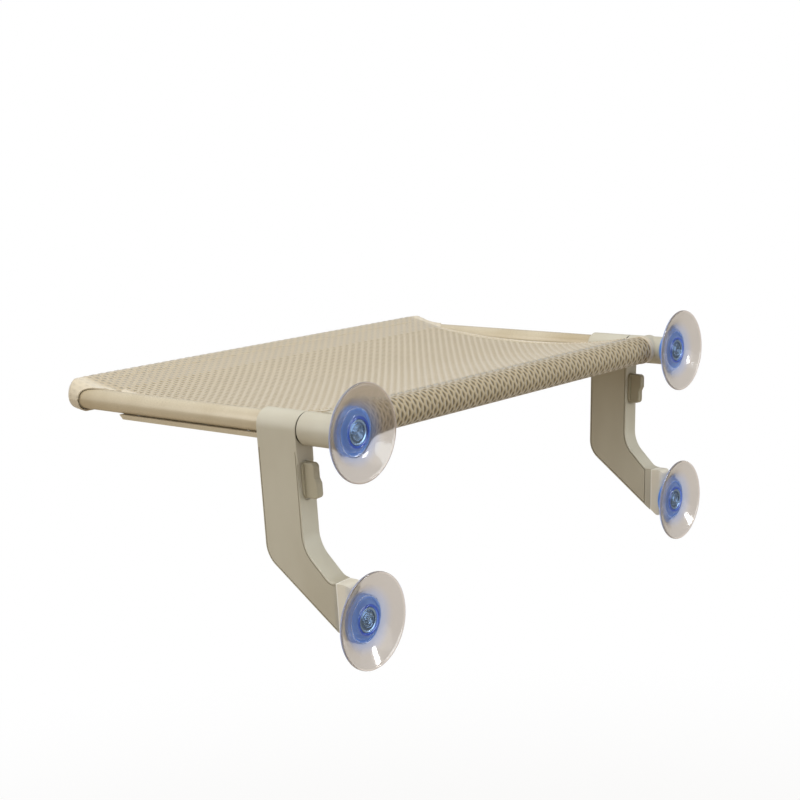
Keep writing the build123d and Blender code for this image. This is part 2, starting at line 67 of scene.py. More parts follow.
class Value:
    """A shader value. Sums, differences, products and shares are written as in arithmetic."""

    def __init__(self, finish, socket):
        self.finish = finish
        self.socket = socket

    def math(self, operation, *values):
        """Math node of this value and others."""
        settings = {"operation": operation}
        return self.finish.node("ShaderNodeMath", settings, dict(enumerate((self, *values))))

    def __add__(self, other):
        return self.math("ADD", other)

    __radd__ = __add__

    def __sub__(self, other):
        return self.math("SUBTRACT", other)

    def __rsub__(self, other):
        return (self * -1) + other

    def __mul__(self, other):
        return self.math("MULTIPLY", other)

    __rmul__ = __mul__

    def __truediv__(self, other):
        return self.math("DIVIDE", other)

    def fraction(self):
        """The part after the decimal point."""
        return self.math("FRACT")

    def sine(self):
        return self.math("SINE")

    def cosine(self):
        return self.math("COSINE")

    def size(self):
        """The value without its sign."""
        return self.math("ABSOLUTE")

    def least(self, other):
        return self.math("MINIMUM", other)

    def most(self, other):
        return self.math("MAXIMUM", other)

    def step(self, start, end):
        """Runs smoothly from 0 at start to 1 at end."""
        sockets = {"Value": self, "From Min": start, "From Max": end}
        return self.finish.node("ShaderNodeMapRange", {"interpolation_type": "SMOOTHSTEP"}, sockets)

    def swing(self, width):
        """Moves a value that runs round 0.5 to run round 0: the value less 0.5, times width."""
        return (self - 0.5) * width

    def level(self):
        """Moves a wave between -1 and 1 to run from 0 to 1."""
        return self * 0.5 + 0.5


class Finish:
    """One material and its nodes."""

    def __init__(self, name):
        self.material = bpy.data.materials.new(name)
        self.material.use_nodes = True
        self.tree = self.material.node_tree
        self.shader = self.tree.nodes["Principled BSDF"]

    def put(self, socket, value):
        """Links a shader value to a socket, or sets the socket to a plain one."""
        if isinstance(value, Value):
            self.tree.links.new(value.socket, socket)
        else:
            socket.default_value = value

    def node(self, kind, settings=None, sockets=None, output=0):
        """Any node: its settings first, then its sockets by name or place."""
        node = self.tree.nodes.new(kind)
        for name, value in (settings or {}).items():
            setattr(node, name, value)
        for name, value in (sockets or {}).items():
            self.put(node.inputs[name], value)
        return Value(self, node.outputs[output])

    def place(self):
        """Where a point is on the object."""
        return self.node("ShaderNodeTexCoord", output="Object")

    def parts(self, vector):
        """The three numbers of a vector."""
        first = self.node("ShaderNodeSeparateXYZ", sockets={0: vector})
        return [Value(self, socket) for socket in first.socket.node.outputs]

    def noise(self, scale, detail, stretch=None):
        """Cloudy value round 0.5."""
        vector = self.place()
        if stretch:
            vector = self.node("ShaderNodeMapping", sockets={"Vector": vector, "Scale": stretch})
        sockets = {"Vector": vector, "Scale": scale, "Detail": detail}
        return self.node("ShaderNodeTexNoise", sockets=sockets)

    def mix(self, first, second, share):
        """Colour that goes from the first to the second as share goes from 0 to 1. Each is a
        shader colour, or three numbers as they show on a screen."""
        first, second = (
            colour if isinstance(colour, Value) else shown(colour) for colour in (first, second)
        )
        return self.node("ShaderNodeMix", {"data_type": "RGBA"}, {0: share, 6: first, 7: second}, 2)

    def bump(self, height, distance, strength):
        """Normal of a surface raised by height times distance in metres."""
        sockets = {"Height": height, "Distance": distance, "Strength": strength}
        return self.node("ShaderNodeBump", sockets=sockets)

    def set(self, **inputs):
        """Sets the shader's sockets, named with underscores for spaces."""
        for name, value in inputs.items():
            self.put(self.shader.inputs[name.replace("_", " ")], value)
        return self.material


def dress(material, *names):
    """Gives construction nodes their finish."""
    for name in names:
        mesh = nodes[name].data
        mesh.materials.clear()
        mesh.materials.append(material)


def pair(*names):
    """The right and the left node of each name."""
    return [f"{side}_{name}" for name in names for side in ("right", "left")]


def satin_paint():
    """Champagne paint: slow clouds of tone, fine flake in gloss and a faint orange peel."""
    finish = Finish("satin_champagne_paint")
    clouds = finish.noise(paint_cloud_scale, detail=3.0)
    flake = finish.noise(paint_flake_scale, detail=1.0)
    peel = finish.noise(paint_peel_scale, detail=2.0)
    return finish.set(
        Base_Color=finish.mix(steel_paint_dark, steel_paint_light, clouds.step(0.3, 0.7)),
        Metallic=paint_metal,
        Coat_Weight=0.5,
        Coat_Roughness=0.16,
        Roughness=flake.swing(0.22) + clouds.swing(0.1) + paint_roughness,
        Normal=finish.bump(peel, paint_peel_depth, strength=0.5),
    )


paint = satin_paint()
dress(paint, *pair("rail", "brace_strip"), "room_bar", "window_bar")

# Connectors, legs, covers, end blocks and elbows: injection moulded plastic in a warm greige,
# with a fine spark-eroded grain. They push on to the tubes and are screwed from below.

greige_light = (200, 196, 181)
greige_dark = (188, 182, 165)
# A lighter copy of the greige for the foot caps, as painted light on them
lit_cap_light = (240, 236, 224)
lit_cap_dark = (231, 226, 212)
flow_scale = 14.0
flow_stretch = (1.0, 1.0, 0.45)
handled_scale = 38.0
grain_scale = 1500.0
fine_grain = 0.00006
# Painted shade in the gap between each leg's sleeve and its connector
seam_painted_shade = (52, 48, 40)
seam_shade_share = 0.85
seam_inner = 0.0166
seam_outer = 0.0170
seam_start = -0.06815
seam_end = -0.0666
seam_fade = 0.0001
# Painted highlight: a narrow near-white band round each foot cap's edge
foot_painted_highlight = (252, 250, 243)
highlight_start = -0.0340
highlight_width = 0.0012
highlight_fade = 0.0003


def box_middle(name, axis):
    """Middle of a node's box along an axis, from 0 for X to 2 for Z."""
    low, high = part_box(name)
    return float(low[axis] + high[axis]) / 2


rail_x = box_middle("right_rail", 0)


def moulded(name, light, dark, grain_depth, roughness, seams=False, lip=None):
    """Moulded plastic: flow clouds of tone, and a fine grain in gloss and height. With seams set,
    painted shade darkens the gap between sleeve and connector, in a short ring round the rail.
    lip is the Y at which a narrow painted highlight starts."""
    finish = Finish(name)
    flow = finish.noise(flow_scale, detail=3.0, stretch=flow_stretch)
    grain = finish.noise(grain_scale, detail=2.0)
    handled = finish.noise(handled_scale, detail=4.0)
    tone = finish.mix(dark, light, flow.step(0.25, 0.75))
    # Painted shade: a ring at the sleeve's end is darkened, as if shade filled the gap
    if seams:
        aside, ahead, upright = finish.parts(finish.place())
        aside = aside.size() - rail_x
        ring = 1 - (aside * aside + upright * upright).step(seam_inner**2, seam_outer**2)
        ring = ring * ahead.step(seam_start, seam_start + seam_fade)
        ring = ring * (1 - ahead.step(seam_end - seam_fade, seam_end))
        tone = finish.mix(tone, seam_painted_shade, ring * seam_shade_share)
    # Painted highlight: a narrow near-white band from lip on
    if lip is not None:
        ahead = finish.parts(finish.place())[1]
        lip_end = lip + highlight_width
        edge = ahead.step(lip - seam_fade, lip) * (1 - ahead.step(lip_end, lip_end + highlight_fade))
        tone = finish.mix(tone, foot_painted_highlight, edge)
    return finish.set(
        Base_Color=tone,
        Roughness=handled.swing(0.16) + grain.swing(0.1) + roughness,
        Normal=finish.bump(grain, grain_depth, strength=0.6),
    )


# The greige, with painted shade in the gap at each sleeve's end
greige = moulded(
    "moulded_greige", greige_light, greige_dark, fine_grain, roughness=0.42, seams=True
)
dress(greige, *pair("elbow", "connector", "leg_shell", "leg_cover"))
# The foot caps: the greige painted lighter, as painted light, with a painted highlight at their
# edge
greige_painted_lit = moulded(
    "greige_painted_lit", lit_cap_light, lit_cap_dark, fine_grain, roughness=0.4, lip=highlight_start
)
dress(greige_painted_lit, *pair("foot_cap"))

# Thumb turns: the same plastic in a darker taupe, with a coarser grain for grip. Each is pushed
# on to its lock shaft, on the window side of its leg.

taupe_light = (180, 174, 154)
taupe_dark = (166, 159, 138)
coarse_grain = 0.0001
taupe = moulded("moulded_taupe", taupe_light, taupe_dark, coarse_grain, roughness=0.5)
dress(taupe, *pair("lock_knob"))

# Fixings: zinc plated screws, pins, nuts and the turned lock shafts, and brass inserts.
# Most are sunk in the mouldings, and their heads show from below.

zinc_light = (205, 208, 212)
zinc_dark = (168, 172, 178)
brass_light = (214, 182, 116)
brass_dark = (186, 150, 88)
plate_roughness = 0.3
spangle_scale = 260.0
turning_scale = 900.0
turning_stretch = (1.0, 1.0, 6.0)
turning_depth = 0.00003


def plated(name, light, dark):
    """Plated metal: spangled tone and turning marks round the part."""
    finish = Finish(name)
    spangle = finish.noise(spangle_scale, detail=4.0)
    marks = finish.noise(turning_scale, detail=2.0, stretch=turning_stretch)
    return finish.set(
        Base_Color=finish.mix(dark, light, spangle.step(0.3, 0.7)),
        Metallic=1.0,
        Roughness=marks.swing(0.25) + plate_roughness,
        Normal=finish.bump(marks, turning_depth, strength=0.5),
    )


zinc = plated("zinc_plate", zinc_light, zinc_dark)
dress(zinc, *pair("brace_screws", "connector_screws", "elbow_pins", "lower_nut", "lock_cam"))
brass = plated("turned_brass", brass_light, brass_dark)
dress(brass, *pair("upper_insert"))

# Bushes and brake shoes: white acetal rings in each leg's sleeve, and the rubber faced shoe
# that the thumb turn presses against the rail.

acetal_light = (236, 235, 230)
acetal_dark = (224, 223, 216)
acetal_grain = 0.00003
rubber_light = (46, 45, 44)
rubber_dark = (34, 33, 33)
acetal = moulded("white_acetal", acetal_light, acetal_dark, acetal_grain, roughness=0.4)
dress(acetal, *pair("leg_bushes"))
rubber = moulded("black_rubber", rubber_light, rubber_dark, coarse_grain, roughness=0.8)
dress(rubber, *pair("brake_shoe"))

# Sling: a thick air-mesh cloth in oatmeal. Long lens shaped slits run across the bars in
# staggered rows, and bundles of yarn swing round them. One cloth sags between the bars, turns
# round the room bar with its corners drawn over the rails, and is sewn into a pocket.

slit_pitch_x = 0.0112
slit_pitch_y = 0.0091
row_shifts = (0.0, 0.5)
slit_half_width_share = 0.125
slit_half_length_share = 0.40
slit_slope_start = 1.4
slit_depth = 0.0008
cloth_thickness = 0.0020
cloth_light = (198, 182, 153)
cloth_dark = (124, 110, 82)
# Painted shade in the depths of the slits
slit_painted_shade = (98, 86, 62)
# Painted highlight: shut cloth at hems, edges and corners is painted near white
shut_highlight_pale = (240, 233, 219)
shut_highlight_dim = (200, 193, 177)
shut_highlight_share = 0.4
yarn_swing = 0.10
yarns_per_pitch = 6
twists_per_pitch = 6
fuzz_scale = 1300.0
cloth_cloud_scale = 16.0
weave_depth = 0.0008

# Heights and tones of the weave, as shares, and where they rise on the scale of a slit's lens,
# on which 0 is the slit's middle and 1 its rim. shut_lens moves a shut slit past its rim.
rib_rise = (0.7, 1.6)
crown_rise = (1.2, 3.4)
pit_rise = (0.4, 1.5)
shut_highlight_rise = (0.42, 0.62)
shut_lens = 1.6
rib_height = 0.6
yarn_height = 0.16
twist_height = 0.06
shut_calm = 0.4
crown_height = 0.16
fuzz_height = 0.06
# Painted highlights on the weave's ridges: the yarn, twist and crown tones lighten them
yarn_painted_highlight = 0.42
twist_painted_highlight = 0.2
# Painted light: shut cloth is painted lighter
shut_painted_light = 1.05
cloud_tone = 0.15
crown_painted_highlight = 0.25

# The map is moved by whole pitches, so that all of its numbers are above zero
whole_pitches = 1000


def ease(value):
    """0 to 1 with level ends: 3 v squared less 2 v cubed."""
    value = np.clip(value, 0, 1)
    return value * value * (3 - 2 * value)


def rise(value, start, length):
    """Eases from 0 at start to 1 a length further on."""
    return ease((value - start) / length)


def slits(across, along):
    """How deep a point lies in a slit, 0 to 1. Places are in metres along the bars and across
    them. A slit is a lens, so its width shrinks with the square of the distance from its
    middle, and every second row is moved by half a pitch."""
    depth = np.zeros(np.broadcast(across, along).shape)
    for shift in row_shifts:
        a = (across / slit_pitch_x + shift) % 1 - 0.5
        b = (along / slit_pitch_y + shift) % 1 - 0.5
        lens = np.abs(a) / slit_half_width_share + (b / slit_half_length_share) ** 2
        depth = np.maximum(depth, np.clip(slit_slope_start - lens, 0, 1))
    return ease(depth)


def own_map(finish):
    """The two numbers of a mesh's own map, in metres."""
    return finish.parts(finish.node("ShaderNodeUVMap", {"uv_map": "metres"}))[:2]


def air_mesh():
    """The cloth's finish: yarns swing round the lens slits, which are deep and hold painted shade.
    The yarns' ridges carry painted highlights, and shut cloth is painted lighter and whiter.
    It reads the cloth's own map, in metres along the bars and across them."""
    finish = Finish("oatmeal_air_mesh")
    across, along = own_map(finish)
    across = across / slit_pitch_x
    along = along / slit_pitch_y
    shut = 1 - finish.node("ShaderNodeAttribute", {"attribute_name": "open_share"}, output="Fac")
    rows = []
    for shift in row_shifts:
        a = ((across + (shift + whole_pitches)).fraction() - 0.5).size() / slit_half_width_share
        b = ((along + (shift + whole_pitches)).fraction() - 0.5) / slit_half_length_share
        rows.append(a + b * b)
    lens = rows[0].least(rows[1]) + shut * shut_lens
    turn = 2 * math.pi
    swung = across - (across * turn).sine() * (along * turn).cosine() * yarn_swing
    strand = swung * (turn * yarns_per_pitch)
    yarn = strand.cosine().level()
    twist = (along * (turn * twists_per_pitch) + strand).sine().level()
    fuzz = finish.noise(fuzz_scale, detail=3.0)
    cloud = finish.noise(cloth_cloud_scale, detail=3.0)
    rib = lens.step(*rib_rise)
    crown = lens.step(*crown_rise)
    ply = (yarn * yarn_height + twist * twist_height) * rib * (1 - shut * shut_calm)
    height = rib * rib_height + ply + crown * crown_height + fuzz * fuzz_height
    # Painted highlights on the yarns' ridges and crowns, and painted light on shut cloth
    lift = (yarn * yarn_painted_highlight + twist * twist_painted_highlight) * (1 - shut) + shut * shut_painted_light
    tone = finish.mix(cloth_dark, cloth_light, lift + cloud * cloud_tone + crown * crown_painted_highlight)
    # Painted highlight: shut cloth turns near white
    shut_highlight = finish.mix(shut_highlight_dim, shut_highlight_pale, yarn * 0.5 + twist * 0.5)
    tone = finish.mix(tone, shut_highlight, shut.step(*shut_highlight_rise) * shut_highlight_share)
    # Base colour: painted shade in the slits, under the cloth's tone
    return finish.set(
        Base_Color=finish.mix(slit_painted_shade, tone, lens.step(*pit_rise)),
        Roughness=fuzz.swing(0.2) + 0.86,
        Sheen_Weight=0.7,
        Sheen_Roughness=0.4,
        Normal=finish.bump(height, weave_depth, strength=0.85),
    )


oatmeal = air_mesh()


def squares(index):
    """The four corners of each face between the rows and columns of a grid."""
    near, far = index[:-1], index[1:]
    return np.stack([near[:, :-1], far[:, :-1], far[:, 1:], near[:, 1:]], -1).reshape(-1, 4)


def surface(name, points, uv, rows_close=False, mask=None, open_share=None):
    """Mesh of a grid of points, with its map in metres. rows_close joins the last row to the
    first, mask says which faces stay, and open_share how open the slits are at each point.
    Its open edges are sharp, so that its shading doesn't bend into the cloth's cut side."""
    rows, columns = points.shape[:2]
    index = np.arange(rows * columns).reshape(rows, columns)
    if rows_close:
        index = np.vstack([index, index[:1]])
        uv = np.concatenate([uv, uv[:1]])
    quads = squares(index)
    maps = squares(np.arange(uv.shape[0] * uv.shape[1]).reshape(uv.shape[:2]))
    if mask is not None:
        quads = quads[mask.reshape(-1)]
        maps = maps[mask.reshape(-1)]
    used, compact = np.unique(quads, return_inverse=True)
    mesh = bpy.data.meshes.new(name)
    mesh.from_pydata(points.reshape(-1, 3)[used].tolist(), [], compact.reshape(-1, 4).tolist())
    layer = mesh.uv_layers.new(name="metres")
    corners = uv.reshape(-1, 2)[maps.reshape(-1)]
    layer.data.foreach_set("uv", corners.astype(np.float32).reshape(-1))
    loop_edges = np.empty(len(mesh.loops), np.int32)
    mesh.loops.foreach_get("edge_index", loop_edges)
    crisp = mesh.attributes.new("sharp_edge", "BOOLEAN", "EDGE")
    crisp.data.foreach_set("value", np.bincount(loop_edges, minlength=len(mesh.edges)) == 1)
    if open_share is not None:
        share = mesh.attributes.new("open_share", "FLOAT", "POINT")
        share.data.foreach_set("value", open_share.reshape(-1)[used].astype(np.float32))
    mesh.polygons.foreach_set("use_smooth", np.ones(len(mesh.polygons), bool))
    mesh.update()
    piece = bpy.data.objects.new(name, mesh)
    bpy.context.scene.collection.objects.link(piece)
    return piece


def cloth(piece, thickness):
    """Gives a sheet of the sling its thickness, finish and body. The thickness grows
    inwards from the shown face, because the grid's normals point inwards."""
    modifier = piece.modifiers.new("thickness", "SOLIDIFY")
    modifier.thickness = thickness
    modifier.offset = 1.0
    modifier.use_even_offset = False
    piece.data.materials.append(oatmeal)
    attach(piece, "frame")


# Where the cloth lies, from the construction
sling_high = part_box("sling_cover")[1]
rail_low, rail_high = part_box("right_rail")
pocket_radius = 0.0150
window_y = box_middle("window_bar", 1)
window_z = box_middle("window_bar", 2)
room_y = box_middle("room_bar", 1)
room_z = box_middle("room_bar", 2)
rail_radius = float(rail_high[0] - rail_low[0]) / 2
rail_end = float(rail_low[1])
sheet_sag = 0.018
leave_lift = 0.00036
leave_length = 0.020
step_x = slit_pitch_x / 7
step_y = slit_pitch_y / 4
inner_half = 22 * slit_pitch_x
side_steps = 20
hem_width = 0.0085
hem_height = 0.0006
hem_slope = 0.0012
hem_shut = 0.6

# Slack waves: their height, how far from each bar they end, and how fast they run
drape_height = 0.0012
drape_from_window = 0.02
drape_from_room = 0.05
wave_across = 19
wave_phase = 1.3
wave_along = 7
wave_slant = 6


def sheet_height(y):
    """Z of the sheet's face: the chord between the pockets' tops less a parabola of the sag,
    lifted a little where it leaves a pocket."""
    share = (window_y - y) / (window_y - room_y)
    top = window_z + share * (room_z - window_z) + pocket_radius
    near_room = np.exp(-np.abs(y - room_y) / leave_length)
    near_window = np.exp(-np.abs(window_y - y) / leave_length)
    return top - 4 * sheet_sag * share * (1 - share) + leave_lift * (near_room + near_window)


def drape(x, y):
    """Small waves in the slack of the sheet: two sines, under a half sine that dies out at its
    pockets."""
    start = window_y - drape_from_window
    share = np.clip((start - y) / (start - room_y - drape_from_room), 0, 1)
    waves = np.sin(x * wave_across + wave_phase) * np.sin(share * wave_along + x * wave_slant)
    return drape_height * waves * np.sin(math.pi * share)


def sink(points, uv, fade):
    """Moves points in along the surface's normal by the depth of the slits times a fade."""
    normal = np.cross(np.gradient(points, axis=1), np.gradient(points, axis=0))
    least_length = 1e-12
    normal /= np.maximum(np.linalg.norm(normal, axis=-1, keepdims=True), least_length)
    depth = slits(uv[..., 0], uv[..., 1]) * slit_depth * fade
    return points - normal * depth[..., None]


def both_ends(side, middle):
    """One end's columns mirrored, the middle ones, and the same end. Where a point has more
    than one number, the mirror turns the sign of the first."""
    flip = np.ones(side.shape[-1])
    flip[0] = -1 if len(flip) > 1 else 1
    return np.concatenate([(side * flip)[:, ::-1], middle, side], 1)


def rows_by(*columns):
    """Grid of points or map places from parts that are spread to the same shape."""
    return np.stack(np.broadcast_arrays(*columns), -1)


def arc(radius, off):
    """Height of a circle at a distance off its middle: the root of the radius squared less
    that distance squared, and 0 beyond its ends."""
    return np.sqrt(np.clip(radius**2 - off**2, 0, None))


# Room end. The rows run from the sheet over the bar and round under it. The columns run along
# the bar, and at each end they turn down over the rail. Seen from above, the outer corner is
# an arc, and the cloth's edge is drawn out along the top of the rail.

join_y = room_y + 0.048
corner_radius = 0.0270
cloth_proud = 0.0014
end_x = float(sling_high[0]) + cloth_proud
corner_x = end_x - corner_radius
corner_y = room_y - pocket_radius + corner_radius
flap_reach = 0.0245
flap_turn = math.radians(18.0)
flap_clear = 0.0006
flap_gap = 0.0015
pocket_turn = math.radians(318.0)
seam_flap = 0.012
seam_gap = 0.0001
seam_half = 0.2515
room_thickness = 0.0013
# Below 1 this also paints the room end and the sheet lighter than the window pocket, as painted
# light
room_open = 0.72
faint_slits = 0.36
side_dip = 0.0012
dip_start = 0.254
dip_width = 0.009
bar_blend = 0.003
sheet_rows = 22
turn_rows = 55
flap_rows = 6
end_turns = 16
sheet_sides = 12


def outer_x(y):
    """Where the cloth ends along the bar: straight beside the rail, then round the corner."""
    return corner_x + arc(corner_radius, np.clip(corner_y - y, 0, corner_radius))


def flap_edge(turned):
    """Y of the cloth's edge round the rail: it falls off with the angle turned from the
    rail's top, as an exponential."""
    return rail_end + flap_clear + flap_reach * np.exp(-turned / flap_turn)


middle_x = np.linspace(-inner_half, inner_half, round(2 * inner_half / step_x) + 1)
side_x = inner_half + (rail_x - inner_half) * np.linspace(0, 1, side_steps + 1)[1:]
sheet_half = side_x[sheet_sides - 1]
side_turn = np.linspace(0, math.pi / 2, end_turns + 1)[1:]
turned = np.concatenate([np.zeros(side_steps), side_turn])[None, :]

# Y, Z and length along the cloth of each row: sheet, round the bar, and the sewn flap
upper_y = np.linspace(join_y, room_y, sheet_rows)
round_z = room_z + arc(pocket_radius, upper_y - room_y)
upper_z = np.where(upper_y < room_y + bar_blend, round_z, sheet_height(upper_y))
round_turn = np.linspace(0, pocket_turn, turn_rows + 1)[1:]
round_y = room_y - pocket_radius * np.sin(round_turn)
last_y = round_y[-1]
flap_steps = np.linspace(0, seam_flap, flap_rows + 1)[1:]
flap_y = last_y + flap_steps
flap_z = sheet_height(flap_y) - cloth_thickness - seam_gap
row_y = np.concatenate([upper_y, round_y, flap_y])[:, None]
row_z = np.concatenate([upper_z, room_z + pocket_radius * np.cos(round_turn), flap_z])[:, None]
turned_along = room_y - pocket_radius * round_turn
row_along = np.concatenate([upper_y, turned_along, turned_along[-1] - flap_steps])[:, None]
on_sheet = (np.arange(len(row_y)) < sheet_rows)[:, None]
past_half = (round_turn - math.pi) / (pocket_turn - math.pi)
under_share = np.concatenate([np.zeros(sheet_rows), past_half, np.ones(flap_rows)])
under_share = np.clip(under_share, 0, 1)[:, None]

# One end's columns. They are flat to above the rail's axis, then a quarter of an ellipse
# whose half axes reach out to the corner's arc and down to the pocket's middle.
end_reach = 0.0118
end_reach_more = 0.0045
end_roll_radius = 0.0145
under_y = room_y + (rail_end - room_y) * under_share
arc_y = np.where(under_share > 0, under_y, row_y)
past_bar = np.clip((room_y - arc_y) / pocket_radius, 0, 1)
out_x = outer_x(arc_y)
reach_x = np.where(past_bar > 0, end_reach + end_reach_more * past_bar, out_x - rail_x)
flat_x = out_x - reach_x
flat_columns = inner_half + (flat_x - inner_half) * (side_x - inner_half) / (rail_x - inner_half)
end_points_x = np.concatenate([flat_columns, flat_x + reach_x * np.sin(side_turn)], 1)
end_map_x = np.concatenate([flat_columns, flat_x + end_roll_radius * side_turn], 1)

# Rows of the sheet are drawn out, so that the first of them lies on the flap's edge. There the
# cloth hugs the rail, and it eases from the sheet's line to the rail's top.
hug_share = 0.9
hug_power = 1.6
blend_rate = 3
blend_round = 0.0006
from_bar = np.clip((row_y - room_y) / (join_y - room_y), 0, 1)
over_rail = rise(end_points_x, sheet_half, rail_x - sheet_half)
edge_y = join_y + (flap_edge(turned) - join_y) * over_rail
edge_z = sheet_height(edge_y)
end_y = np.where(on_sheet, room_y + from_bar * (edge_y - room_y), row_y)
sheet_side_y = np.clip(end_y, room_y, None)
round_bar = room_z + arc(pocket_radius, sheet_side_y - room_y)
line = np.where(end_y < room_y + bar_blend, round_bar, sheet_height(sheet_side_y))
hug = arc(rail_radius + flap_gap, np.clip(rail_x - end_points_x, 0, None))
low = np.minimum(edge_z, hug)
hug = np.maximum(hug, low + (edge_z - low) * (1 - over_rail * hug_share))
lifted = (line + hug + np.sqrt((line - hug) ** 2 + blend_round**2)) / 2
line = line + (lifted - line) * np.clip(over_rail * blend_rate, 0, 1)
line = line + (hug - line) * over_rail * from_bar**hug_power
line = line - side_dip * rise(end_points_x, dip_start, dip_width) * (1 - over_rail) * from_bar
end_z = np.where(on_sheet, line, row_z)
middle_z = room_z * past_bar
end_z = middle_z + (end_z - middle_z) * np.cos(turned)

# Under the rail the cloth stays level up to the rail's end, and doesn't turn up behind it
under_drop = 0.0022
level_z = (room_z - pocket_radius - under_drop * under_share) * np.cos(turned)
level = (under_share > 0) * rise(end_points_x, start=0.252, length=0.012)
end_y = end_y + (under_y - end_y) * level
end_z = end_z + (level_z - end_z) * level
end_along = np.where(on_sheet, end_y, row_along)

# How open the slits are. They shut at the flap's edge, towards the corner, where the cloth
# turns down over the rail, and under it. Where they shut, the finish paints the cloth lighter
# and whiter, as painted light.
edge_shut = rise(end_points_x, sheet_half, length=0.004) * rise(from_bar, start=0.72, length=0.1)
corner_shut = rise(end_points_x, start=0.258, length=0.018) * 0.65
turn_shut = rise(turned, start=0.3, length=0.9) * 0.6
down_shut = rise(turned, start=1.1, length=0.35)
bound = (1 - edge_shut) * (1 - corner_shut) * room_open
bound = bound * (1 - turn_shut) * (1 - down_shut) * (1 - level)
flat_share = np.full((len(row_y), len(middle_x), 1), room_open)
calm = both_ends(bound[..., None], flat_share)[..., 0]

middle_columns = middle_x[None, :]
room_points = both_ends(
    rows_by(end_points_x, end_y, end_z), rows_by(middle_columns, row_y, row_z)
)
room_map = both_ends(rows_by(end_map_x, end_along), rows_by(middle_columns, row_along))
room_points = sink(room_points, room_map, calm)
beside = np.abs(room_points[:-1, :-1, 0] + room_points[1:, 1:, 0]) / 2 > seam_half
sewn = (np.arange(len(row_y) - 1) >= len(row_y) - 1 - flap_rows)[:, None]
room_pocket = surface(
    "room_pocket",
    room_points[::-1],
    room_map[::-1],
    mask=~(beside & sewn)[::-1],
    open_share=np.maximum(calm, faint_slits)[::-1],
)
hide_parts("sling_cover")
cloth(room_pocket, room_thickness)

# Sheet: between the room end and the window pocket, with a folded hem along each side. It
# narrows a little towards the window, where the hems run into the pocket.

window_join = window_y - 0.012
narrow_half = 0.2586
narrow_start = -0.235
narrow_length = 0.10
hem_start_length = 0.006
dip_length = 0.05
open_length = 0.03
sheet_count = round((window_join - join_y) / step_y) + 1
sheet_y = np.linspace(join_y, window_join, sheet_count)[:, None]
narrowing = (sheet_half - narrow_half) / (sheet_half - inner_half)
slim = 1 - narrowing * rise(sheet_y, narrow_start, narrow_length)
side_columns = inner_half + (side_x[:sheet_sides] - inner_half) * slim
sheet_x = np.concatenate([-side_columns[:, ::-1], middle_x + 0 * sheet_y, side_columns], 1)
from_middle = np.abs(sheet_x)
hem = rise(from_middle, side_columns[:, -1:] - hem_width, hem_slope)
hem = hem * rise(sheet_y, join_y, hem_start_length)
dip = side_dip * rise(from_middle, dip_start, dip_width) * (1 - rise(sheet_y, join_y, dip_length))
sheet_z = sheet_height(sheet_y) + drape(sheet_x, sheet_y) + hem * hem_height - dip
sheet_map = rows_by(sheet_x, sheet_y)
joined = room_open + (1 - room_open) * rise(sheet_y, window_join - open_length, open_length)
sheet_open = joined * (1 - hem_shut * hem)
sheet_points = sink(rows_by(sheet_x, sheet_y, sheet_z), sheet_map, sheet_open)
first_column = end_points_x.shape[1] - sheet_sides
sheet_points[0] = room_points[0, first_column : first_column + sheet_points.shape[1]]
sheet = surface("sling_sheet", sheet_points, sheet_map, open_share=sheet_open)
sheet_flat = (2 * (sheet_half + hem_width), float(window_join - join_y))
cloth(sheet, cloth_thickness)

# Window pocket: the sheet's other end, turned round the window bar and sewn under it, with a
# folded hem beside each tee.

collar_gap = 0.0003
lead_rows = 6
window_half = float(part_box("right_connector")[0][0]) - collar_gap
arm_x = narrow_half + (window_half - narrow_half) * np.array([0.5, 1.0])
window_x = np.concatenate([-arm_x[::-1], sheet_x[-1], arm_x])[None, :]
lead_y = np.linspace(window_join, window_y, lead_rows)
lead_round = window_z + arc(pocket_radius, window_y - lead_y)
lead_z = np.where(lead_y > window_y - bar_blend, lead_round, sheet_height(lead_y))
back_y = window_y - pocket_radius * math.sin(2 * math.pi - pocket_turn) - flap_steps
back_z = sheet_height(back_y) - cloth_thickness - seam_gap
roll_y = np.concatenate([lead_y, window_y + pocket_radius * np.sin(round_turn), back_y])[:, None]
roll_z = np.concatenate([lead_z, window_z + pocket_radius * np.cos(round_turn), back_z])[:, None]
roll_along = np.concatenate([lead_y, window_y + pocket_radius * round_turn])
roll_along = np.concatenate([roll_along, roll_along[-1] + flap_steps])[:, None]
roll_hem = rise(np.abs(window_x), window_half - hem_width, hem_slope)
proud = roll_hem * hem_height / pocket_radius
roll_points = rows_by(
    window_x, roll_y + (roll_y - window_y) * proud, roll_z + (roll_z - window_z) * proud
)
roll_map = rows_by(window_x, roll_along)
roll_open = np.broadcast_to(1 - hem_shut * roll_hem, roll_points.shape[:2])
roll_points = sink(roll_points, roll_map, roll_open)
window_pocket = surface("window_pocket", roll_points, roll_map, open_share=roll_open)
cloth(window_pocket, cloth_thickness)

# Stitching: a lockstitch in oatmeal thread along each hem and across each pocket's seam. Each
# stitch is a short thread that dips into the cloth at its two ends.

stitch_length = 0.0034
stitch_pitch = 0.0046
stitch_bow = 0.0004
stitch_points = 5
thread_radius = 0.00042
thread_end_share = 0.45
thread_sides = 6
thread_light = (224, 212, 186)
thread_dark = (188, 172, 142)
ply_scale = 420.0


def spun_thread():
    """Polyester thread: plies that twist round it, and a soft sheen."""
    finish = Finish("oatmeal_thread")
    sockets = {"Vector": finish.place(), "Scale": ply_scale, "Distortion": 1.5}
    ply = finish.node("ShaderNodeTexWave", sockets=sockets)
    return finish.set(
        Base_Color=finish.mix(thread_dark, thread_light, ply),
        Roughness=ply * 0.2 + 0.5,
        Sheen_Weight=0.3,
        Normal=finish.bump(ply, 0.0001, strength=0.6),
    )


thread = spun_thread()


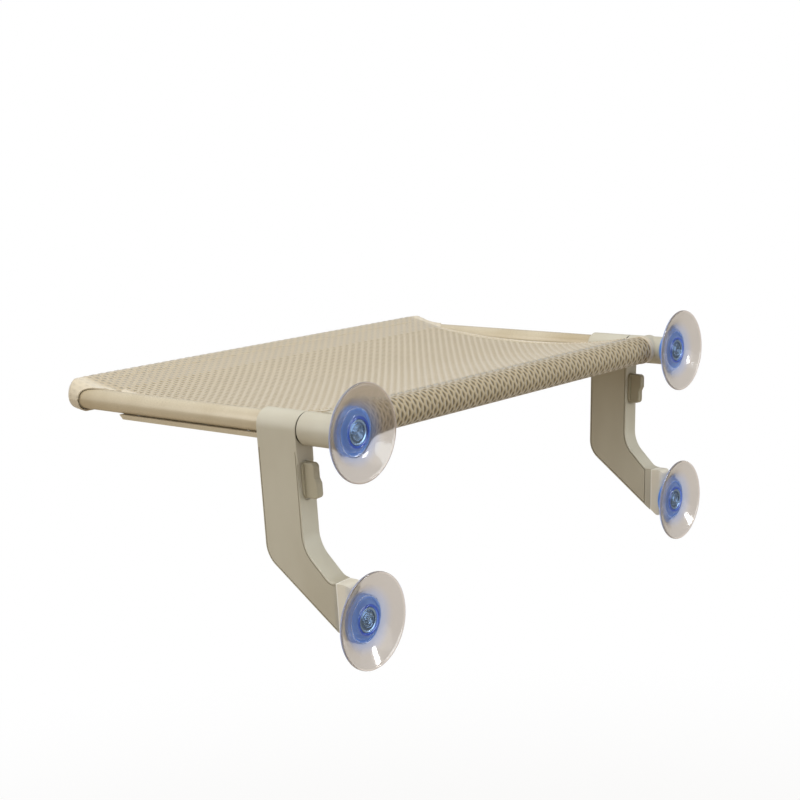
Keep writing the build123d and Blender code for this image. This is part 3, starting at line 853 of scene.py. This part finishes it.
def stitches(name, start, end, lift, facing, widen=0.0):
    """Row of stitches between two points. The row follows the sheet's height plus a lift, its
    X may widen as the sheet's edge does, and each stitch is a six sided thread whose middle
    stands up in a half sine."""
    start, end = np.array(start), np.array(end)
    length = np.linalg.norm(end - start)
    count = int(length / stitch_pitch)
    along = (end - start) / length
    across = np.array([-along[1], along[0]])
    middle = (np.arange(count) + 0.5) * stitch_pitch
    bow = np.linspace(-1, 1, stitch_points)
    half_sine = np.cos(bow * math.pi / 2)
    ring = np.arange(thread_sides) * (2 * math.pi / thread_sides)
    place = middle[:, None] + bow * stitch_length / 2
    thin = thread_radius * (thread_end_share + (1 - thread_end_share) * half_sine)
    plan = start + place[..., None, None] * along
    plan = plan + (np.cos(ring)[:, None] * across) * thin[:, None, None]
    plan[..., 0] += widen * (1 - rise(plan[..., 1], narrow_start, narrow_length))
    stand = stitch_bow * half_sine[:, None] + np.sin(ring) * thin[:, None]
    height = sheet_height(plan[..., 1]) + lift + facing * stand
    points = np.concatenate([plan, height[..., None]], -1)
    index = np.arange(height.size).reshape(height.shape)
    ahead = np.roll(index, -1, 2)
    walls = np.stack([index[:, :-1], ahead[:, :-1], ahead[:, 1:], index[:, 1:]], -1).reshape(-1, 4)
    caps = np.concatenate([index[:, 0, ::-1], index[:, -1]])
    mesh = bpy.data.meshes.new(name)
    mesh.from_pydata(points.reshape(-1, 3).tolist(), [], walls.tolist() + caps.tolist())
    work = bmesh.new()
    work.from_mesh(mesh)
    bmesh.ops.recalc_face_normals(work, faces=work.faces)
    work.to_mesh(mesh)
    work.free()
    mesh.polygons.foreach_set("use_smooth", np.ones(len(mesh.polygons), bool))
    piece = bpy.data.objects.new(name, mesh)
    bpy.context.scene.collection.objects.link(piece)
    piece.data.materials.append(thread)
    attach(piece, "frame")


hem_x = float(narrow_half - hem_width + 0.0016)
hem_ends = (join_y + 0.006, window_join - 0.001)
seam_reach = 0.245
on_face = 0.0001
under_face = -2 * cloth_thickness - 0.0003
for side_name, side_sign in (("right", 1), ("left", -1)):
    start, end = ((side_sign * hem_x, y) for y in hem_ends)
    widen = side_sign * float(sheet_half - narrow_half)
    stitches(f"{side_name}_hem_stitches", start, end, hem_height + on_face, 1, widen)
for bar_name, seam_y in (("room", float(last_y + 0.007)), ("window", float(back_y[3]))):
    start, end = (-seam_reach, seam_y), (seam_reach, seam_y)
    stitches(f"{bar_name}_seam_stitches_above", start, end, on_face, 1)
    stitches(f"{bar_name}_seam_stitches_below", start, end, under_face, -1)

# Suction cups: soft clear vinyl, tinted blue in the thick hub and clear rose in the thin flange.
# The cup is one moulding about the stud, with a flat sealing lip.

cup_turns = 96
vinyl_flange = (201, 193, 185)
vinyl_hub = (76, 126, 200)
vinyl_deep = (58, 104, 184)
vinyl_recess = (56, 88, 172)
# Painted light: the vinyl glows blue in the hub and pale at the rim, though it is no lamp
vinyl_painted_glow = (62, 146, 240)
rim_painted_glow = (150, 142, 138)
vinyl_ior = 1.45
vinyl_wave = 0.0004

# Where the tints change, as radius from and to. The middle of the cup's wall is level up to the
# bend, and outside it rises towards the pane.
recess_edge = (0.0140, 0.0153)
hub_edge = (0.0205, 0.0345)
hub_wander = 0.004
hub_share = 0.5
rim_edge = (0.0432, 0.0444)
wall_bend = 0.019
wall_slope = 0.333
wall_depth = 0.0089
wall_fade = 0.0005

# The milky hub: faces further from the pane than this, inside this radius
deep_y = -0.0146
deep_radius = 0.0214

# The legs lean towards the middle, and the lower cups sit on them
leg_lean = math.radians(3.0)
leg_middle = 0.00425
lower_drop = 0.172


def lathe(name, profile, place, turns):
    """Solid turned about an axis along Y. The profile is a list of (radius, y), open at the
    axis. Each point is turned through equal steps. place is the axis' X and Z before the
    lean about the rail."""
    radius, depth = np.array(profile).T
    angle = np.arange(turns)[:, None] * (2 * math.pi / turns)
    points = rows_by(place[0] + radius * np.cos(angle), depth, place[1] + radius * np.sin(angle))
    piece = surface(name, points, rows_by(radius + 0 * angle, depth), rows_close=True)
    mesh = bmesh.new()
    mesh.from_mesh(piece.data)
    bmesh.ops.remove_doubles(mesh, verts=mesh.verts, dist=1e-6)
    bmesh.ops.holes_fill(mesh, edges=[edge for edge in mesh.edges if edge.is_boundary])
    bmesh.ops.recalc_face_normals(mesh, faces=mesh.faces)
    mesh.to_mesh(piece.data)
    mesh.free()
    return piece


def bend(points, steps):
    """Smooth line through points: a Catmull-Rom curve with equal steps between each two."""
    run = np.array(points, float)
    run = np.vstack([2 * run[0] - run[1], run, 2 * run[-1] - run[-2]])
    t = np.linspace(0, 1, steps, endpoint=False)[:, None]
    a, b, c, d = (run[first : first + len(run) - 3, None] for first in range(4))
    curved = (2 * a - 5 * b + 4 * c - d) * t**2 + (3 * b - a - 3 * c + d) * t**3
    curve = 0.5 * (2 * b + (c - a) * t + curved)
    return np.vstack([curve.reshape(-1, 2), run[-2:-1]]).tolist()


def clear_vinyl():
    """Clear vinyl. It reads the cup's own map, whose first number is the radius in metres and
    whose second is the depth: blue behind and in the recess, rose grey in the flange. It glows
    blue in the hub and pale at the rim, as painted light."""
    finish = Finish("clear_blue_vinyl")
    radius, depth = own_map(finish)
    flow = finish.noise(30.0, detail=3.0)
    ripple = finish.noise(60.0, detail=2.0)
    wall = (radius - wall_bend).most(0.0) * wall_slope - wall_depth
    recess = 1 - radius.step(*recess_edge)
    behind = (1 - (depth - wall).step(-wall_fade, wall_fade)) * (1 - recess)
    hub = (1 - (radius + flow.swing(hub_wander)).step(*hub_edge)) * hub_share
    blue = behind * hub
    tinted = finish.mix(vinyl_flange, vinyl_hub, blue)
    # Painted glow in the blue of the hub
    glow = finish.mix((0, 0, 0), vinyl_painted_glow, blue)
    return finish.set(
        Base_Color=finish.mix(tinted, vinyl_recess, recess * (1 - behind)),
        Roughness=flow.swing(0.06) + 0.1,
        IOR=vinyl_ior,
        Transmission_Weight=0.93,
        Emission_Color=finish.mix(glow, rim_painted_glow, radius.step(*rim_edge)),
        Emission_Strength=0.42,
        Coat_Weight=0.6,
        Coat_Roughness=0.04,
        Normal=finish.bump(ripple, vinyl_wave, strength=0.25),
    )


def blue_vinyl():
    """The cup's thick hub: the same vinyl, milky blue where it is deep, and glowing blue as painted
    light.
    """
    finish = Finish("milky_blue_vinyl")
    flow = finish.noise(45.0, detail=3.0)
    # The hub glows blue, as painted light
    return finish.set(
        Base_Color=finish.mix(vinyl_deep, vinyl_hub, flow.step(0.3, 0.7)),
        Roughness=flow.swing(0.1) + 0.3,
        IOR=vinyl_ior,
        Transmission_Weight=0.22,
        Coat_Weight=0.4,
        Coat_Roughness=0.06,
        Emission_Color=shown(vinyl_painted_glow),
        Emission_Strength=0.28,
        Normal=finish.bump(flow, vinyl_wave, strength=0.2),
    )


def lean_in(piece, side):
    """Turns a piece about its rail by the leg's lean, towards the middle."""
    turn = Matrix.Translation((side * rail_x, 0, 0)) @ Matrix.Rotation(side * leg_lean, 4, "Y")
    piece.data.transform(turn @ Matrix.Translation((-side * rail_x, 0, 0)))


vinyl = clear_vinyl()
core = blue_vinyl()
cup_collar = bend(
    [(0.0150, -0.0199), (0.0178, -0.0192), (0.0199, -0.0172), (0.0206, -0.0148), (0.0209, -0.0124)],
    4,
)
cup_flange = bend(
    [(0.0213, -0.0114), (0.0226, -0.0101), (0.0262, -0.0083), (0.0340, -0.0050), (0.0445, -0.0016)],
    7,
)
cup_face = bend([(0.0425, -0.0004), (0.0350, -0.0026), (0.0240, -0.0055), (0.0148, -0.0066)], 7)
cup_profile = [
    (0.0026, -0.0095),
    (0.0026, -0.0199),
    *cup_collar,
    *cup_flange,
    (0.0450, -0.0012),
    (0.0450, -0.0003),
    (0.0447, 0.0),
    (0.0428, 0.0),
    *cup_face,
    (0.0145, -0.0060),
    (0.0139, -0.0056),
    (0.0128, -0.0056),
    (0.0122, -0.0062),
    (0.0121, -0.0094),
]

# Name, body, side, axis' X and Z, and whether it leans, of each cup
seats = []
for side_name, side_sign in (("right", 1), ("left", -1)):
    upper = (side_sign * rail_x, 0.0)
    lower = (side_sign * (rail_x + leg_middle), -lower_drop)
    seats.append((f"{side_name}_upper", "frame", side_sign, upper, False))
    seats.append((f"{side_name}_lower", f"{side_name}_leg", side_sign, lower, True))

for name, body, side_sign, place, leans in seats:
    cup = lathe(f"{name}_cup_skin", cup_profile, place, cup_turns)
    centres = np.empty(len(cup.data.polygons) * 3)
    cup.data.polygons.foreach_get("center", centres)
    x, y, z = centres.reshape(-1, 3).T
    deep = (y < deep_y) & (np.hypot(x - place[0], z - place[1]) < deep_radius)
    if leans:
        lean_in(cup, side_sign)
    cup.data.materials.append(vinyl)
    cup.data.materials.append(core)
    cup.data.polygons.foreach_set("material_index", deep.astype(np.int32))
    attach(cup, body)
    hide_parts(f"{name}_cup")

# Studs: a pressed steel disc with a raised rim and ring sits in each cup, on a shank that
# holds the cup to its connector or foot.

disc_light = (158, 188, 228)
disc_dark = (44, 70, 112)
pebble_scale = 620.0
pebble_depth = 0.0009
ring_pitch = 0.0019
field_edge = (0.0076, 0.0086)
groove_edge = (0.0092, 0.0100)
disc_rim_edge = (0.0110, 0.0118)
shank_radius = 0.0025
shank_chamfer = 0.0004
disc_profile = [
    (0.0, -0.0068),
    (0.0030, -0.0068),
    (0.0034, -0.0066),
    (0.0040, -0.0066),
    (0.0044, -0.0069),
    (0.0078, -0.0069),
    (0.0083, -0.0065),
    (0.0088, -0.0065),
    (0.0093, -0.0070),
    (0.0100, -0.0071),
    (0.0106, -0.0066),
    (0.0114, -0.0065),
    (0.0119, -0.0069),
    (0.01195, -0.0092),
    (0.0112, -0.00948),
    (shank_radius, -0.00948),
    (shank_radius, -0.0100),
]


def stud_steel():
    """Steel that looks blue in the tinted recess. A pebble field with rings is pressed in its
    middle, and the groove round the field and the disc's rim are darker."""
    finish = Finish("pressed_steel")
    pebble = finish.noise(pebble_scale, detail=3.0)
    radius = own_map(finish)[0]
    field = 1 - radius.step(*field_edge)
    rings = (radius * (2 * math.pi / ring_pitch)).cosine().level()
    pits = pebble.step(0.42, 0.6) * field
    rim = radius.step(*disc_rim_edge)
    groove = (1 - radius.step(*groove_edge)) * (1 - field)
    shade = pits * 0.6 + rings * field * 0.3 + rim * 0.8 + groove * 0.7
    return finish.set(
        Base_Color=finish.mix(disc_light, disc_dark, shade),
        Metallic=0.9,
        Roughness=pebble * 0.2 + 0.16,
        Normal=finish.bump((pebble + rings * 0.4) * field, pebble_depth, strength=0.9),
    )


pressed = stud_steel()
for name, body, side_sign, place, leans in seats:
    tip = float(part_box(f"{name}_stud")[0][1])
    shank = [(shank_radius, tip + shank_chamfer), (shank_radius - shank_chamfer, tip), (0.0, tip)]
    disc = lathe(f"{name}_disc", disc_profile + shank, place, cup_turns)
    if leans:
        lean_in(disc, side_sign)
    disc.data.materials.append(pressed)
    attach(disc, body)
    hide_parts(f"{name}_stud")

# Studio: a plain pale floor well below the perch, and soft light from large panels. The camera
# stands where the photograph was taken from.

floor_drop = 1.4
floor_half = 20.0
floor_colour = (0.60, 0.51, 0.38, 1)
floor_near_white = 0.88
floor_fade = (1.8, 3.6)
room_colour = (1.0, 0.95, 0.87, 1)
room_strength = 0.43


def pale_floor():
    """Pale floor that shows as white to the camera and through the vinyl, and takes a shadow
    near the object."""
    finish = Finish("pale_floor")
    ray = finish.node("ShaderNodeLightPath", output="Is Camera Ray")
    through = Value(finish, ray.socket.node.outputs["Is Transmission Ray"])
    glow = finish.node("ShaderNodeEmission", sockets={"Color": (1, 1, 1, 1), "Strength": 1.0})
    length = {"operation": "LENGTH"}
    apart = finish.node("ShaderNodeVectorMath", length, {0: finish.place()}, "Value")
    white = apart.step(*floor_fade) * (1 - floor_near_white) + floor_near_white
    finish.set(Base_Color=floor_colour, Roughness=0.9)
    plain = Value(finish, finish.shader.outputs[0])
    sockets = {0: ray.most(through) * white, 1: plain, 2: glow}
    both = finish.node("ShaderNodeMixShader", sockets=sockets)
    finish.tree.links.new(both.socket, finish.tree.nodes["Material Output"].inputs["Surface"])
    return finish.material


floor_mesh = bpy.data.meshes.new("floor")
floor_signs = ((-1, -1), (1, -1), (1, 1), (-1, 1))
floor_corners = [(x * floor_half, y * floor_half, -floor_drop) for x, y in floor_signs]
floor_mesh.from_pydata(floor_corners, [], [(0, 1, 2, 3)])
floor_mesh.materials.append(pale_floor())
floor = bpy.data.objects.new("floor", floor_mesh)
bpy.context.scene.collection.objects.link(floor)

world = bpy.data.worlds.new("studio")
bpy.context.scene.world = world
world.use_nodes = True
sky = world.node_tree
path = sky.nodes.new("ShaderNodeLightPath")
background = sky.nodes["Background"]
background.inputs["Color"].default_value = room_colour
background.inputs["Strength"].default_value = room_strength
white = sky.nodes.new("ShaderNodeBackground")
white.inputs["Color"].default_value = (1, 1, 1, 1)
white.inputs["Strength"].default_value = 1.0
either = sky.nodes.new("ShaderNodeMath")
either.operation = "MAXIMUM"
sky.links.new(path.outputs["Is Camera Ray"], either.inputs[0])
sky.links.new(path.outputs["Is Transmission Ray"], either.inputs[1])
choose = sky.nodes.new("ShaderNodeMixShader")
sky.links.new(either.outputs[0], choose.inputs[0])
sky.links.new(background.outputs[0], choose.inputs[1])
sky.links.new(white.outputs[0], choose.inputs[2])
sky.links.new(choose.outputs[0], sky.nodes["World Output"].inputs["Surface"])

light_aim = Vector((0.0, -0.2, -0.05))
for name, place, size, power, tint in (
    ("overhead_panel", (0.3, 0.2, 2.0), 1.6, 32.0, (0.97, 0.99, 1.0)),
    ("window_panel", (-0.1, 2.2, 0.8), 1.8, 28.0, (0.91, 0.97, 1.0)),
    ("room_panel", (1.9, -0.9, 0.7), 1.6, 14.5, (1.0, 0.99, 0.97)),
    ("window_glint", (-3.1, 3.7, 0.05), 0.42, 12.0, (0.96, 0.98, 1.0)),
):
    lamp = bpy.data.lights.new(name, "AREA")
    lamp.shape = "SQUARE"
    lamp.size = size
    lamp.energy = power
    lamp.color = tint
    panel = bpy.data.objects.new(name, lamp)
    panel.location = place
    panel.rotation_euler = (light_aim - Vector(place)).to_track_quat("-Z", "Y").to_euler()
    bpy.context.scene.collection.objects.link(panel)

camera_place = Vector((1.35422, 0.92851, 0.27663))
camera_right = Vector((-0.63079, 0.7753, -0.03197))
camera_ahead = Vector((-0.76065, -0.62596, -0.17202))
camera_up = camera_right.cross(camera_ahead)
camera_turn = Matrix((camera_right, camera_up, -camera_ahead)).transposed().to_4x4()
camera_data = bpy.data.cameras.new("camera")
camera_data.sensor_width = 36.0
camera_data.lens = 74.65
camera_data.clip_end = 100.0
camera = bpy.data.objects.new("camera", camera_data)
camera.matrix_world = Matrix.Translation(camera_place) @ camera_turn
bpy.context.scene.collection.objects.link(camera)
bpy.context.scene.camera = camera
bpy.context.scene.view_settings.view_transform = "Standard"
